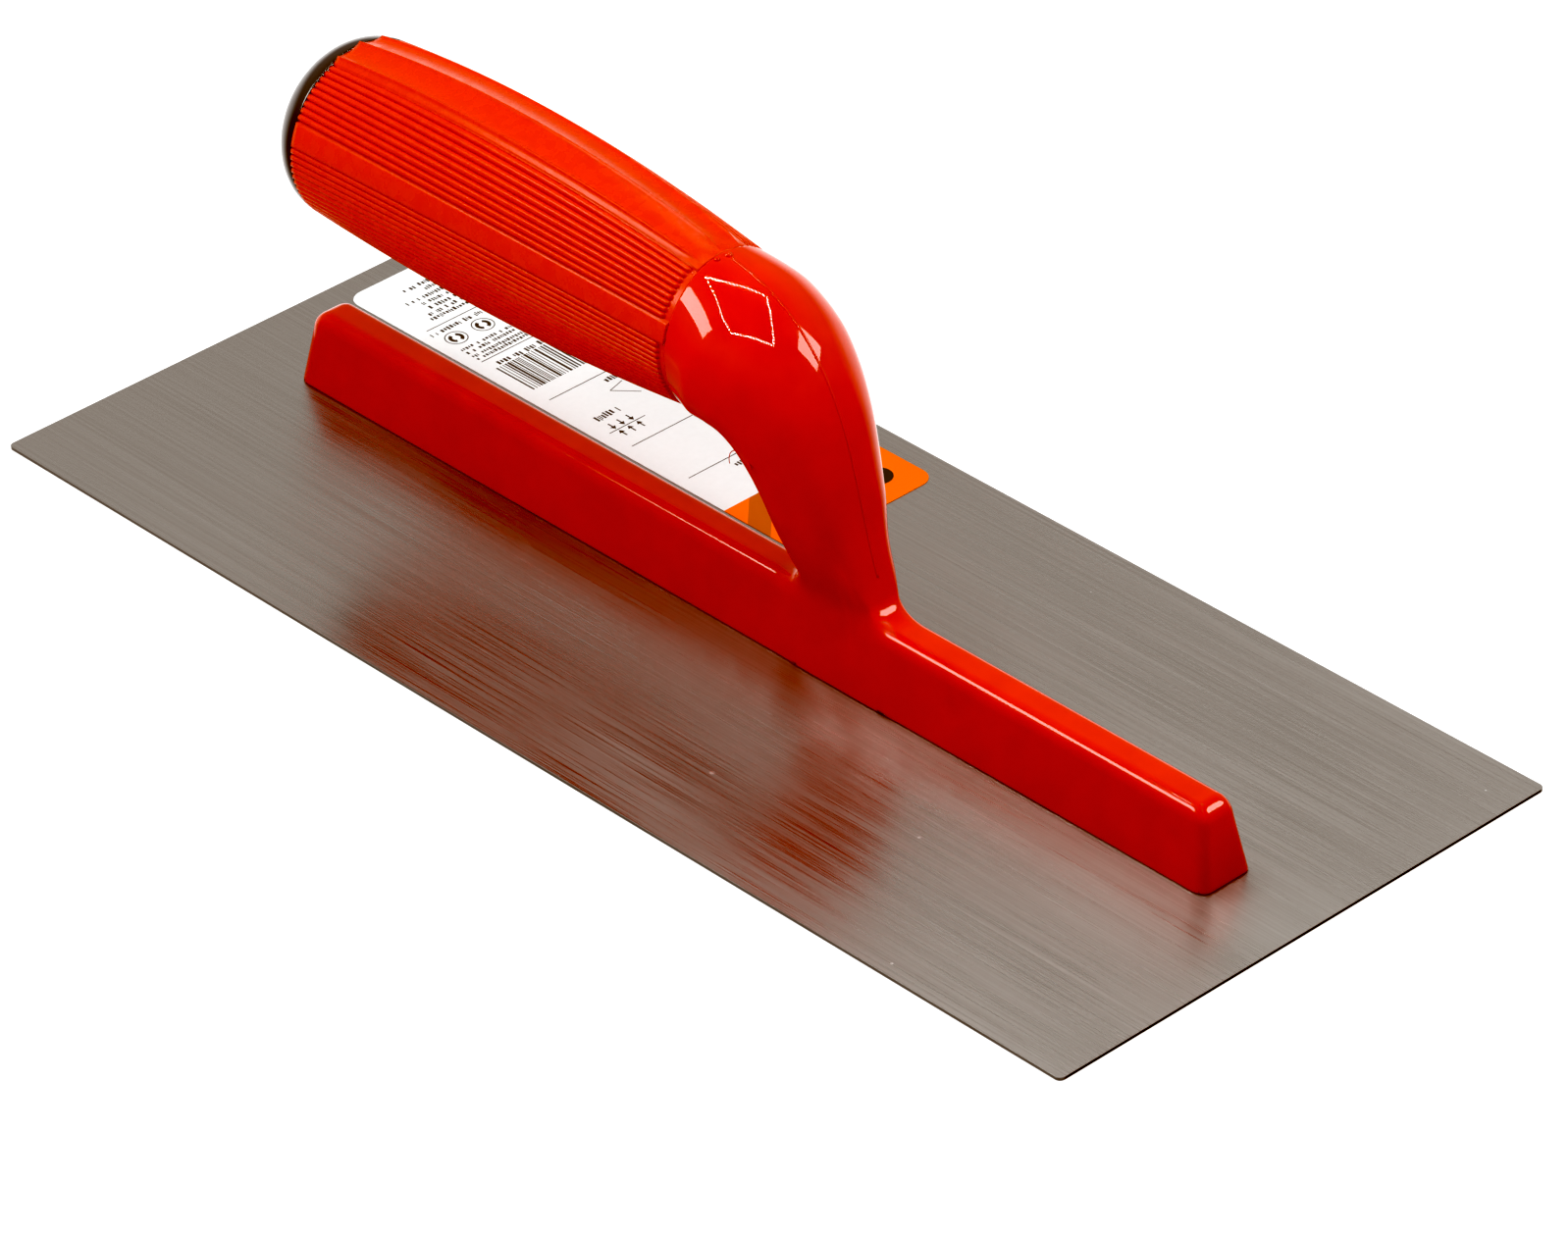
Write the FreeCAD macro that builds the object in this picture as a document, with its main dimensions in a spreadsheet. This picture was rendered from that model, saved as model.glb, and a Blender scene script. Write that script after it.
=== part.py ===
import FreeCAD, Part
import math
import os
import Sketcher
from FreeCAD import Placement, Rotation, Vector

# Steel finishing trowel: a flat steel blade, a plastic handle moulding (mounting bar, gooseneck
# and grip core in one piece), a soft ribbed sleeve over the core, an end cap, the welded studs
# that hold the moulding to the blade, and an adhesive label.
# Millimetres. The origin is the centre of the blade's underside, +Z is up and +X points along
# the blade to the toe, the end that the gooseneck stands nearer to.

SIZES = [
    ("blade_length", 280, "steel blade, heel to toe"),
    ("blade_width", 120, "steel blade, edge to edge"),
    ("blade_thick", 0.7, "steel sheet"),
    ("blade_corner", 1.2, "corner radius of the blade"),
    ("bar_heel_inset", 21.2, "blade's heel to the bar"),
    ("bar_toe_inset", 19, "blade's toe to the bar"),
    ("bar_foot_width", 14.2, "width of the bar on the blade"),
    ("bar_crown_width", 9.1, "width of the bar at its top before the edges are rounded"),
    ("bar_toe_height", 15.4, "height of the bar at the toe"),
    ("bar_heel_height", 14.5, "height of the bar at the heel"),
    ("bar_rounding", 3, "radius of the bar's top and end edges"),
    ("stud_count", 5, "welded studs along the bar"),
    ("stud_heel_inset", 11.8, "bar's heel to the first stud"),
    ("stud_toe_inset", 8, "bar's toe to the last stud"),
    ("stud_shank", 4.5, "shank diameter of a stud"),
    ("stud_head", 7, "head diameter of a stud"),
    ("stud_cover", 5.5, "plastic over a stud's head at the heel"),
    ("stud_head_thick", 2, "thickness of a stud's head"),
    ("stud_gap", 0.1, "shrinkage gap between a stud and its seat"),
    ("grip_length", 98, "soft sleeve"),
    ("collar_behind", 4, "collar, behind the middle of the blade"),
    ("axis_height", 59, "height of the grip's axis at the collar"),
    ("axis_rise", 1.3, "how much higher the axis is at the cap"),
    ("side_heel", 18, "half width of the sleeve at the cap"),
    ("side_toe", 15, "half width of the sleeve at the collar"),
    ("crest_heel", 18.2, "sleeve above its axis at the cap"),
    ("crest_middle", 22.0, "sleeve above its axis at its middle"),
    ("crest_toe", 16, "sleeve above its axis at the collar"),
    ("belly_heel", 18, "sleeve below its axis at the cap"),
    ("belly_middle", 20.1, "sleeve below its axis at its middle"),
    ("belly_toe", 15.7, "sleeve below its axis at the collar"),
    ("sleeve_wall", 2.4, "thickness of the soft sleeve"),
    ("sleeve_gap", 0.15, "gap between the sleeve and the core"),
    ("core_wall", 3, "least wall of the hollow core"),
    ("core_floor", 12, "solid plastic between the hollow core and the collar"),
    ("collar_step", 0.6, "how far the collar stands out past the sleeve"),
    ("neck_reach", 23.3, "run of the neck straight on from the collar"),
    ("neck_rise", 22.4, "run of the neck straight up from the bar"),
    ("neck_forward", 31.8, "where the neck meets the bar, ahead of the collar"),
    ("neck_lean", 0.39, "forward lean of the neck's foot, run over rise"),
    ("neck_bulge", 1.5, "how far each side of the neck stands out half way down"),
    ("neck_foot_depth", 17.6, "foot of the neck along the bar"),
    ("neck_foot_width", 12.4, "foot of the neck across the bar"),
    ("neck_slim", 1.8, "how much slimmer the bend is than a straight taper"),
    ("neck_root", 7, "how deep the neck's root runs into the bar"),
    ("neck_root_width", 9, "width of the neck's root inside the bar"),
    ("cap_overlap", 0.3, "how far the cap's rim stays inside the sleeve's end"),
    ("cap_rim", 1, "straight rim of the end cap"),
    ("cap_dome", 10.3, "height of the dome above the rim"),
    ("plug_length", 10, "press-in plug of the end cap"),
    ("plug_wall", 2, "wall of the plug"),
    ("plug_gap", 0.1, "gap between the plug and the core's mouth"),
    ("label_length", 127.1, "adhesive label"),
    ("label_width", 35.7, "adhesive label"),
    ("label_thick", 0.12, "adhesive label"),
    ("label_corner", 3.5, "corner radius of the label"),
    ("label_heel_inset", 5.4, "blade's heel to the label"),
    ("label_edge_inset", 5.1, "blade's long edge to the label"),
]

GRIP_SECTIONS = 7
NECK_SECTIONS = 9
POINTS_ROUND = 32
ROUND = 2.0
NECK_FOOT_SQUARENESS = 2.6

doc = FreeCAD.newDocument("finishing_trowel")
sheet = doc.addObject("Spreadsheet::Sheet", "dims")
for row, (alias, value, note) in enumerate(SIZES, start=1):
    sheet.set("A%d" % row, note)
    sheet.set("B%d" % row, str(value))
    sheet.setAlias("B%d" % row, alias)
doc.recompute()


def size(alias):
    return float(getattr(sheet, alias))


# ---- sketch helpers -------------------------------------------------------------------------

def new_body(label):
    body = doc.addObject("PartDesign::Body", label)
    body.Label = label
    return body


def origin_feature(body, role):
    return next(item for item in body.Origin.OriginFeatures if item.Role == role)


def new_sketch(body, role, name):
    sketch = body.newObject("Sketcher::SketchObject", name)
    sketch.AttachmentSupport = (origin_feature(body, role), [""])
    sketch.MapMode = "FlatFace"
    return sketch


def bind(sketch, kind, geometry, point, formula):
    """Ties one coordinate of a sketch point to a formula over the sheet."""
    row = sketch.addConstraint(Sketcher.Constraint(kind, -1, 1, geometry, point, 1.0))
    sketch.setExpression("Constraints[%d]" % row, formula)


def outline(sketch, corners):
    """Closed outline of straight sides. Each corner is a pair of formulas over the sheet."""
    count = len(corners)
    angle = 2 * math.pi / count
    rough = [Vector(10 * math.cos(k * angle), 10 * math.sin(k * angle), 0) for k in range(count)]
    for k in range(count):
        sketch.addGeometry(Part.LineSegment(rough[k], rough[(k + 1) % count]), False)
    for k in range(count):
        sketch.addConstraint(Sketcher.Constraint("Coincident", k, 2, (k + 1) % count, 1))
    for k, (across, up) in enumerate(corners):
        bind(sketch, "DistanceX", k, 1, across)
        bind(sketch, "DistanceY", k, 1, up)


def plate(label, length, width, thickness, corner):
    """Flat sheet centred on its origin, with rounded corners."""
    body = new_body(label)
    sketch = new_sketch(body, "XY_Plane", label + "_outline")
    across, along = "dims.%s / 2" % length, "dims.%s / 2" % width
    outline(sketch, [("-" + across, "-" + along), (across, "-" + along),
                     (across, along), ("-" + across, along)])
    pad = body.newObject("PartDesign::Pad", label + "_pad")
    pad.Profile = sketch
    pad.setExpression("Length", "dims." + thickness)
    doc.recompute()
    upright = ["Edge%d" % (k + 1) for k, edge in enumerate(pad.Shape.Edges)
               if abs(edge.tangentAt(edge.FirstParameter).z) > 0.99]
    rounding = body.newObject("PartDesign::Fillet", label + "_corners")
    rounding.Base = (pad, upright)
    rounding.setExpression("Radius", "dims." + corner)
    body.Tip = rounding
    return body


# ---- blade and label ------------------------------------------------------------------------

def make_blade():
    return plate("blade", "blade_length", "blade_width", "blade_thick", "blade_corner")


def make_label():
    body = plate("label", "label_length", "label_width", "label_thick", "label_corner")
    body.setExpression("Placement.Base.x",
                       "(dims.label_length - dims.blade_length) / 2 + dims.label_heel_inset")
    body.setExpression("Placement.Base.y",
                       "(dims.blade_width - dims.label_width) / 2 - dims.label_edge_inset")
    body.setExpression("Placement.Base.z", "dims.blade_thick")
    return body


# ---- welded studs ---------------------------------------------------------------------------

BAR_HEEL = "(dims.bar_heel_inset - dims.blade_length / 2)"
BAR_TOE = "(dims.blade_length / 2 - dims.bar_toe_inset)"
STUD_RUN = "(%s - dims.stud_toe_inset - %s - dims.stud_heel_inset)" % (BAR_TOE, BAR_HEEL)


def stud_row(label, gap):
    """Row of headed studs on the blade, or with a gap the seats that they leave in the bar."""
    body = new_body(label)
    body.AllowCompound = True
    sketch = new_sketch(body, "XZ_Plane", label + "_profile")
    shank, head = "dims.stud_shank / 2" + gap, "dims.stud_head / 2" + gap
    height = "dims.bar_heel_height - dims.stud_cover"
    top, under = height + gap, height + " - dims.stud_head_thick"
    outline(sketch, [("0 mm", "0 mm"), (shank, "0 mm"), (shank, under), (head, under),
                     (head, top), ("0 mm", top)])
    turn = body.newObject("PartDesign::Revolution", label + "_turn")
    turn.Profile = sketch
    turn.ReferenceAxis = (sketch, ["V_Axis"])
    turn.Angle = 360
    doc.recompute()
    row = body.newObject("PartDesign::LinearPattern", label + "_row")
    row.Originals = [turn]
    row.Direction = (origin_feature(body, "X_Axis"), [""])
    row.setExpression("Length", STUD_RUN)
    row.setExpression("Occurrences", "dims.stud_count")
    body.Tip = row
    body.setExpression("Placement.Base.x", BAR_HEEL + " + dims.stud_heel_inset")
    body.setExpression("Placement.Base.z", "dims.blade_thick")
    return body


# ---- mounting bar ---------------------------------------------------------------------------

def make_bar():
    """Drafted bar, a little lower at the heel, rounded everywhere but underneath."""
    body = new_body("mounting_bar")
    foot = new_sketch(body, "XY_Plane", "bar_foot")
    side = "dims.bar_foot_width / 2"
    outline(foot, [(BAR_HEEL, "-" + side), (BAR_TOE, "-" + side), (BAR_TOE, side), (BAR_HEEL, side)])
    block = body.newObject("PartDesign::Pad", "bar_block")
    block.Profile = foot
    block.setExpression("Length", "dims.bar_toe_height")
    block.setExpression("TaperAngle", "-atan((dims.bar_foot_width - dims.bar_crown_width) / 2"
                                      " / dims.bar_toe_height)")
    doc.recompute()
    solid_volume = block.Shape.Volume
    slope = new_sketch(body, "XZ_Plane", "bar_slope")
    outline(slope, [(BAR_HEEL, "dims.bar_heel_height"), (BAR_TOE, "dims.bar_toe_height"),
                    (BAR_HEEL, "dims.bar_toe_height")])
    planed = body.newObject("PartDesign::Pocket", "bar_planed")
    planed.Profile = slope
    planed.Type = "ThroughAll"
    planed.Midplane = True
    doc.recompute()
    if planed.Shape.Volume >= solid_volume:
        raise RuntimeError("the slope along the bar's top cuts nothing")
    upper = ["Edge%d" % (k + 1) for k, edge in enumerate(planed.Shape.Edges)
             if edge.BoundBox.ZMax > size("bar_rounding")]
    rounding = body.newObject("PartDesign::Fillet", "bar_edges")
    rounding.Base = (planed, upper)
    rounding.setExpression("Radius", "dims.bar_rounding")
    body.Tip = rounding
    body.setExpression("Placement.Base.z", "dims.blade_thick")
    return body


# ---- lofted shapes: grip and neck -----------------------------------------------------------

def ring(middle, up, half_side, above, below, squareness):
    """Closed smooth section in the plane of Y and the direction up."""
    points = []
    for k in range(POINTS_ROUND):
        turn = 2 * math.pi * k / POINTS_ROUND
        side, rise = math.cos(turn), math.sin(turn)
        power = 2.0 / squareness
        reach = above if rise > 0 else below
        y = math.copysign(abs(side) ** power, side) * half_side
        v = math.copysign(abs(rise) ** power, rise) * reach
        points.append(middle + Vector(0, y, 0) + up * v)
    curve = Part.BSplineCurve()
    curve.interpolate(Points=points, PeriodicFlag=True)
    return Part.Wire(curve.toShape())


def through(heel, middle, toe, t):
    """Value at t of the parabola through its values at the heel, the middle and the toe."""
    return heel * (1 - t) * (1 - 2 * t) + middle * 4 * t * (1 - t) + toe * t * (2 * t - 1)


def grip_axis(t):
    """Point on the grip's axis, from the cap at t = 0 to the collar at t = 1."""
    return Vector(-size("collar_behind") - (1 - t) * size("grip_length"), 0,
                  size("axis_height") + (1 - t) * size("axis_rise"))


def grip_solid(inset):
    """The barrel of the grip, set in from the sleeve's outside."""
    rings = []
    for k in range(GRIP_SECTIONS):
        t = k / (GRIP_SECTIONS - 1)
        side = size("side_heel") + t * (size("side_toe") - size("side_heel"))
        above = through(size("crest_heel"), size("crest_middle"), size("crest_toe"), t)
        below = through(size("belly_heel"), size("belly_middle"), size("belly_toe"), t)
        rings.append(ring(grip_axis(t), Vector(0, 0, 1), side - inset, above - inset,
                          below - inset, ROUND))
    return Part.makeLoft(rings, True, False)


def neck_line(t):
    """Point and direction of the neck's centre line, a cubic curve from collar to bar."""
    top = grip_axis(1)
    foot = Vector(top.x + size("neck_forward"), 0, size("blade_thick") + size("bar_toe_height"))
    rise = size("neck_rise")
    ahead = top + Vector(size("neck_reach"), 0, 0)
    above = foot + Vector(-size("neck_lean") * rise, 0, rise)
    early, late = 1 - t, t
    point = (top * early ** 3 + ahead * (3 * late * early ** 2)
             + above * (3 * late ** 2 * early) + foot * late ** 3)
    along = ((ahead - top) * early ** 2 + (above - ahead) * (2 * late * early)
             + (foot - above) * late ** 2)
    return point, along.normalize()


def neck_solid():
    """Gooseneck: round at the collar, narrow and deeper than wide at the bar."""
    above, below = size("crest_toe"), size("belly_toe")
    side = size("side_toe")
    step = size("collar_step")
    foot_depth, foot_side = size("neck_foot_depth") / 2, size("neck_foot_width") / 2
    rings = []
    for k in range(NECK_SECTIONS):
        t = k / (NECK_SECTIONS - 1)
        point, along = neck_line(t)
        slim = size("neck_slim") * 4 * t * (1 - t)
        outer = (above + step) * (1 - t) + foot_depth * t - slim
        inner = (below + step) * (1 - t) + foot_depth * t - slim
        half_side = (side + step) * (1 - t) + foot_side * t + size("neck_bulge") * 4 * t * (1 - t)
        squareness = ROUND + (NECK_FOOT_SQUARENESS - ROUND) * t
        rings.append(ring(point, Vector(-along.z, 0, along.x), half_side, outer, inner, squareness))
    root = point + along * size("neck_root")
    rings.append(ring(root, Vector(-along.z, 0, along.x), size("neck_root_width") / 2,
                      foot_depth, foot_depth, NECK_FOOT_SQUARENESS))
    return Part.makeLoft(rings, True, False)


def shape_feature(name, shape):
    feature = doc.addObject("Part::Feature", name)
    feature.Shape = shape
    return feature


# ---- handle moulding ------------------------------------------------------------------------

def bore_radius(end):
    """Radius of the hollow at the grip's "heel" or "toe" end, inside the core's least wall."""
    least = min(size("side_" + end), size("belly_" + end))
    wall = size("sleeve_wall") + size("sleeve_gap") + size("core_wall")
    return least - wall - (size("axis_rise") if end == "toe" else 0)


def make_core_bore():
    """Tapered hollow, level, that cores out the grip from its rear end."""
    bore = doc.addObject("Part::Cone", "core_bore")
    bore.Radius1 = bore_radius("heel")
    bore.Radius2 = bore_radius("toe")
    bore.setExpression("Height", "dims.grip_length - dims.core_floor")
    bore.Placement = Placement(grip_axis(0), Rotation(Vector(0, 0, 1), Vector(1, 0, 0)))
    return bore


def make_handle_moulding():
    core = shape_feature("grip_core", grip_solid(size("sleeve_wall") + size("sleeve_gap")))
    neck = shape_feature("gooseneck", neck_solid())
    body = doc.addObject("Part::MultiFuse", "handle_solid")
    body.Shapes = [make_bar(), neck, core]
    hollow = doc.addObject("Part::MultiFuse", "handle_hollows")
    hollow.Shapes = [make_core_bore(), stud_row("stud_seats", " + dims.stud_gap")]
    moulding = doc.addObject("Part::Cut", "handle_moulding")
    moulding.Base = body
    moulding.Tool = hollow
    return moulding


# ---- sleeve and cap -------------------------------------------------------------------------

def make_grip_sleeve():
    sleeve = doc.addObject("Part::Cut", "grip_sleeve")
    sleeve.Base = shape_feature("sleeve_outside", grip_solid(0.0))
    sleeve.Tool = shape_feature("sleeve_inside", grip_solid(size("sleeve_wall")))
    return sleeve


def make_end_cap():
    """Domed cap with a hollow plug, turned about the grip's axis. Its seat is at local x = 0."""
    body = new_body("end_cap")
    sketch = new_sketch(body, "XZ_Plane", "cap_profile")
    hollow_length = size("grip_length") - size("core_floor")
    length, wall = size("plug_length"), size("plug_wall")
    narrowing = (bore_radius("heel") - bore_radius("toe")) * length / hollow_length
    plug = bore_radius("heel") - narrowing - size("plug_gap")
    rim, dome = size("cap_rim"), size("cap_dome")
    radius = min(size("side_heel"), size("belly_heel")) - size("cap_overlap")
    bulge = (radius ** 2 + dome ** 2) / (2 * dome)
    centre = bulge - rim - dome
    half_swing = math.asin(radius / bulge) / 2
    pole, shoulder = Vector(-rim - dome, 0, 0), Vector(-rim, radius, 0)
    halfway = Vector(centre - bulge * math.cos(half_swing), bulge * math.sin(half_swing), 0)
    corners = [shoulder, Vector(0, radius, 0), Vector(0, plug, 0), Vector(length, plug, 0),
               Vector(length, plug - wall, 0), Vector(0, plug - wall, 0), Vector(0, 0, 0), pole]
    sketch.addGeometry(Part.Arc(pole, halfway, shoulder), False)
    for first, second in zip(corners, corners[1:]):
        sketch.addGeometry(Part.LineSegment(first, second), False)
    turn = body.newObject("PartDesign::Revolution", "cap_turn")
    turn.Profile = sketch
    turn.ReferenceAxis = (sketch, ["H_Axis"])
    turn.Angle = 360
    body.Tip = turn
    body.Placement = Placement(grip_axis(0), Rotation())
    return body


# ---- build, check, export -------------------------------------------------------------------

parts = [make_blade(), make_label(), stud_row("weld_studs", ""), make_handle_moulding(),
         make_grip_sleeve(), make_end_cap()]
doc.recompute()

for item in doc.Objects:
    if "Invalid" in item.State or "Error" in item.State:
        raise RuntimeError("%s failed: %s" % (item.Label, item.State))
for part in parts:
    if part.Shape.isNull() or not part.Shape.isValid():
        raise RuntimeError("%s has no valid shape" % part.Label)

os.makedirs("parts", exist_ok=True)
for part in parts:
    part.Shape.exportStep("parts/%s.step" % part.Label)
    box = part.Shape.BoundBox
    print("%-16s solids %d  volume %9.1f  x %.1f %.1f  y %.1f %.1f  z %.2f %.2f" % (
        part.Label, len(part.Shape.Solids), part.Shape.Volume,
        box.XMin, box.XMax, box.YMin, box.YMax, box.ZMin, box.ZMax))
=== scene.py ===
import math

import bpy
import numpy as np
from mathutils import Matrix, Vector


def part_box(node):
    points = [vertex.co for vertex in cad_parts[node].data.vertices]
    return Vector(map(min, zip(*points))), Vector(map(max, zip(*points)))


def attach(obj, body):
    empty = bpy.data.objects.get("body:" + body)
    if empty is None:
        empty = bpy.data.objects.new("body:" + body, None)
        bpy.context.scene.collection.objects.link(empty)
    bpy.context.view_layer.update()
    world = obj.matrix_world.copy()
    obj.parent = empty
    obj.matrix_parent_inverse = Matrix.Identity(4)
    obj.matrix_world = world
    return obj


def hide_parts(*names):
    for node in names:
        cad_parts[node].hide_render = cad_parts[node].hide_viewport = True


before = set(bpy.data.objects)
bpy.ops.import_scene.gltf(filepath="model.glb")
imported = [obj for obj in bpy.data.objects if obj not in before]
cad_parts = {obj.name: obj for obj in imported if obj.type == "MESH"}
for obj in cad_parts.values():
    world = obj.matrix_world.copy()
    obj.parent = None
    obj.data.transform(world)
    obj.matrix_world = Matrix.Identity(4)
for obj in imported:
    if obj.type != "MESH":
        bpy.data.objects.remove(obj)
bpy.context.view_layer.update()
MM = 0.001

# ---- Blade ----------------------------------------------------------------------------------
# A sheet of spring steel, 280 x 120 x 0.7 mm, cut square and ground along its length. The long
# grain of the grinding belt shows as fine light and dark streaks, with pale specks of dust that
# dry plaster leaves. Everything else on the trowel is fixed to it.

blade_low, blade_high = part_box("blade")
BLADE_TOP = blade_high.z
BLADE_CORNER = 1.2 * MM
BLADE_EDGE = 0.06 * MM
BLADE_CORNER_STEPS = 6


def rounded_rectangle(low, high, radius, steps):
    """Outline of a rectangle with round corners, anticlockwise from above."""
    centres = [(high[0] - radius, high[1] - radius), (low[0] + radius, high[1] - radius),
               (low[0] + radius, low[1] + radius), (high[0] - radius, low[1] + radius)]
    points = []
    for quarter, (x, y) in enumerate(centres):
        for step in range(steps + 1):
            turn = (quarter + step / steps) * math.pi / 2
            points.append((x + radius * math.cos(turn), y + radius * math.sin(turn)))
    return points


def piece_from(name, points, faces, smooth=True):
    """A mesh object of that name, linked to the scene, with its normals facing out."""
    mesh = bpy.data.meshes.new(name)
    mesh.from_pydata([tuple(point) for point in points], [], faces)
    mesh.update()
    piece = bpy.data.objects.new(name, mesh)
    bpy.context.scene.collection.objects.link(piece)
    mesh.polygons.foreach_set("use_smooth", [smooth] * len(mesh.polygons))
    return piece


def joined_rings(rings, count):
    """Quads that join rings of count points, one ring after the other."""
    faces = []
    for ring_at in range(rings - 1):
        for k in range(count):
            base, after = ring_at * count, (k + 1) % count
            faces.append((base + k, base + after, base + count + after, base + count + k))
    return faces


def stacked_plate(name, rings):
    """A solid plate from a stack of outlines with the same number of points, bottom to top."""
    count = len(rings[0])
    points = [point for ring in rings for point in ring]
    top = (len(rings) - 1) * count
    faces = [tuple(reversed(range(count))), *joined_rings(len(rings), count),
             tuple(range(top, top + count))]
    return piece_from(name, points, faces, smooth=False)


def eased_plate(name, low, high, radius, edge, steps):
    """A rounded rectangular plate whose top and bottom edges are eased by a small chamfer."""
    levels = ((edge, low.z), (0.0, low.z + edge), (0.0, high.z - edge), (edge, high.z))
    rings = []
    for inset, z in levels:
        outline = rounded_rectangle((low.x + inset, low.y + inset), (high.x - inset, high.y - inset),
                                    radius - inset, steps)
        rings.append([(x, y, z) for x, y in outline])
    return stacked_plate(name, rings)


def lay_uv(piece, size):
    """Flat UVs from above, U across the blade and V along it, so that the tangent is across."""
    layer = piece.data.uv_layers.new(name="UVMap")
    for loop in piece.data.loops:
        point = piece.data.vertices[loop.vertex_index].co
        layer.data[loop.index].uv = (point.y / size, point.x / size)


def new_material(name):
    """A material with its Principled shader, and that shader."""
    material = bpy.data.materials.new(name)
    material.use_nodes = True
    return material, material.node_tree.nodes["Principled BSDF"]


def add_node(tree, kind, settings=None, inputs=None):
    """A node of that kind, with its settings and its plain input values."""
    node = tree.nodes.new(kind)
    for key, value in (settings or {}).items():
        setattr(node, key, value)
    for key, value in (inputs or {}).items():
        node.inputs[key].default_value = value
    return node


def object_noise(tree, stretch, scale, detail=2.0, roughness=0.5):
    """Noise over the piece's own coordinates, stretched by stretch. Returns its value socket."""
    place = add_node(tree, "ShaderNodeTexCoord")
    mapping = add_node(tree, "ShaderNodeMapping", inputs={"Scale": stretch})
    noise = add_node(tree, "ShaderNodeTexNoise",
                     inputs={"Scale": scale, "Detail": detail, "Roughness": roughness})
    tree.links.new(place.outputs["Object"], mapping.inputs["Vector"])
    tree.links.new(mapping.outputs["Vector"], noise.inputs["Vector"])
    return noise.outputs["Fac"]


def remap(tree, value, low, high, new_low, new_high):
    """The value, stretched from low..high to new_low..new_high and held inside them."""
    node = add_node(tree, "ShaderNodeMapRange", inputs={"From Min": low, "From Max": high,
                                                        "To Min": new_low, "To Max": new_high})
    tree.links.new(value, node.inputs["Value"])
    return node.outputs["Result"]


def blend_colours(tree, mask, first, second):
    """Colour from first to second as the mask goes from 0 to 1. Each is a colour or a socket."""
    node = add_node(tree, "ShaderNodeMix", {"data_type": "RGBA"})
    tree.links.new(mask, node.inputs["Factor"])
    for name, colour in (("A", first), ("B", second)):
        socket = next(s for s in node.inputs if s.name == name and s.type == "RGBA")
        if isinstance(colour, tuple):
            socket.default_value = (*colour, 1.0)
        else:
            tree.links.new(colour, socket)
    return next(s for s in node.outputs if s.type == "RGBA")


def combine(tree, operation, first, second):
    """Maths on two values, each a number or a socket."""
    node = add_node(tree, "ShaderNodeMath", {"operation": operation})
    for slot, value in enumerate((first, second)):
        if isinstance(value, (int, float)):
            node.inputs[slot].default_value = value
        else:
            tree.links.new(value, node.inputs[slot])
    return node.outputs["Value"]


def bump(tree, height, distance, strength=1.0, under=None):
    """Normal from a height that is 1 at the given distance above the surface."""
    node = add_node(tree, "ShaderNodeBump", inputs={"Strength": strength, "Distance": distance})
    tree.links.new(height, node.inputs["Height"])
    if under is not None:
        tree.links.new(under, node.inputs["Normal"])
    return node.outputs["Normal"]


def feed_shader(tree, shader, colour, roughness, normal):
    """Links a material's colour, roughness and normal to its shader."""
    for name, value in (("Base Color", colour), ("Roughness", roughness), ("Normal", normal)):
        tree.links.new(value, shader.inputs[name])


def new_group(name, inputs, outputs):
    """A shader node group. inputs are (name, default) floats, outputs are names of floats."""
    group = bpy.data.node_groups.new(name, "ShaderNodeTree")
    for label, default in inputs:
        socket = group.interface.new_socket(name=label, in_out="INPUT", socket_type="NodeSocketFloat")
        socket.default_value = default
    for label in outputs:
        group.interface.new_socket(name=label, in_out="OUTPUT", socket_type="NodeSocketFloat")
    entry = group.nodes.new("NodeGroupInput")
    leave = group.nodes.new("NodeGroupOutput")
    return group, entry, leave


def place_group(tree, group, values):
    """The group as a node in this tree, with its own values."""
    node = tree.nodes.new("ShaderNodeGroup")
    node.node_tree = group
    for key, value in values.items():
        node.inputs[key].default_value = value
    return node


# Belt grain: streaks along X at two widths, as one light and dark value, and each by itself.
belt_grain, grain_in, grain_out = new_group(
    "belt_grain", [("Fine", 3600.0), ("Broad", 900.0), ("Length", 0.02)], ["Shade", "Fine", "Broad"])
grain_place = add_node(belt_grain, "ShaderNodeTexCoord")
grain_streaks = []
for width_name in ("Fine", "Broad"):
    run = combine(belt_grain, "MULTIPLY", grain_in.outputs[width_name], grain_in.outputs["Length"])
    stretch = add_node(belt_grain, "ShaderNodeCombineXYZ")
    belt_grain.links.new(run, stretch.inputs["X"])
    belt_grain.links.new(grain_in.outputs[width_name], stretch.inputs["Y"])
    scaled = add_node(belt_grain, "ShaderNodeVectorMath", {"operation": "MULTIPLY"})
    belt_grain.links.new(grain_place.outputs["Object"], scaled.inputs[0])
    belt_grain.links.new(stretch.outputs["Vector"], scaled.inputs[1])
    streak = add_node(belt_grain, "ShaderNodeTexNoise",
                      inputs={"Scale": 1.0, "Detail": 3.0, "Roughness": 0.6})
    belt_grain.links.new(scaled.outputs["Vector"], streak.inputs["Vector"])
    belt_grain.links.new(streak.outputs["Fac"], grain_out.inputs[width_name])
    grain_streaks.append(streak.outputs["Fac"])
grain_sum = combine(belt_grain, "ADD", combine(belt_grain, "MULTIPLY", grain_streaks[0], 0.5),
                    combine(belt_grain, "MULTIPLY", grain_streaks[1], 0.5))
belt_grain.links.new(grain_sum, grain_out.inputs["Shade"])

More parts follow.
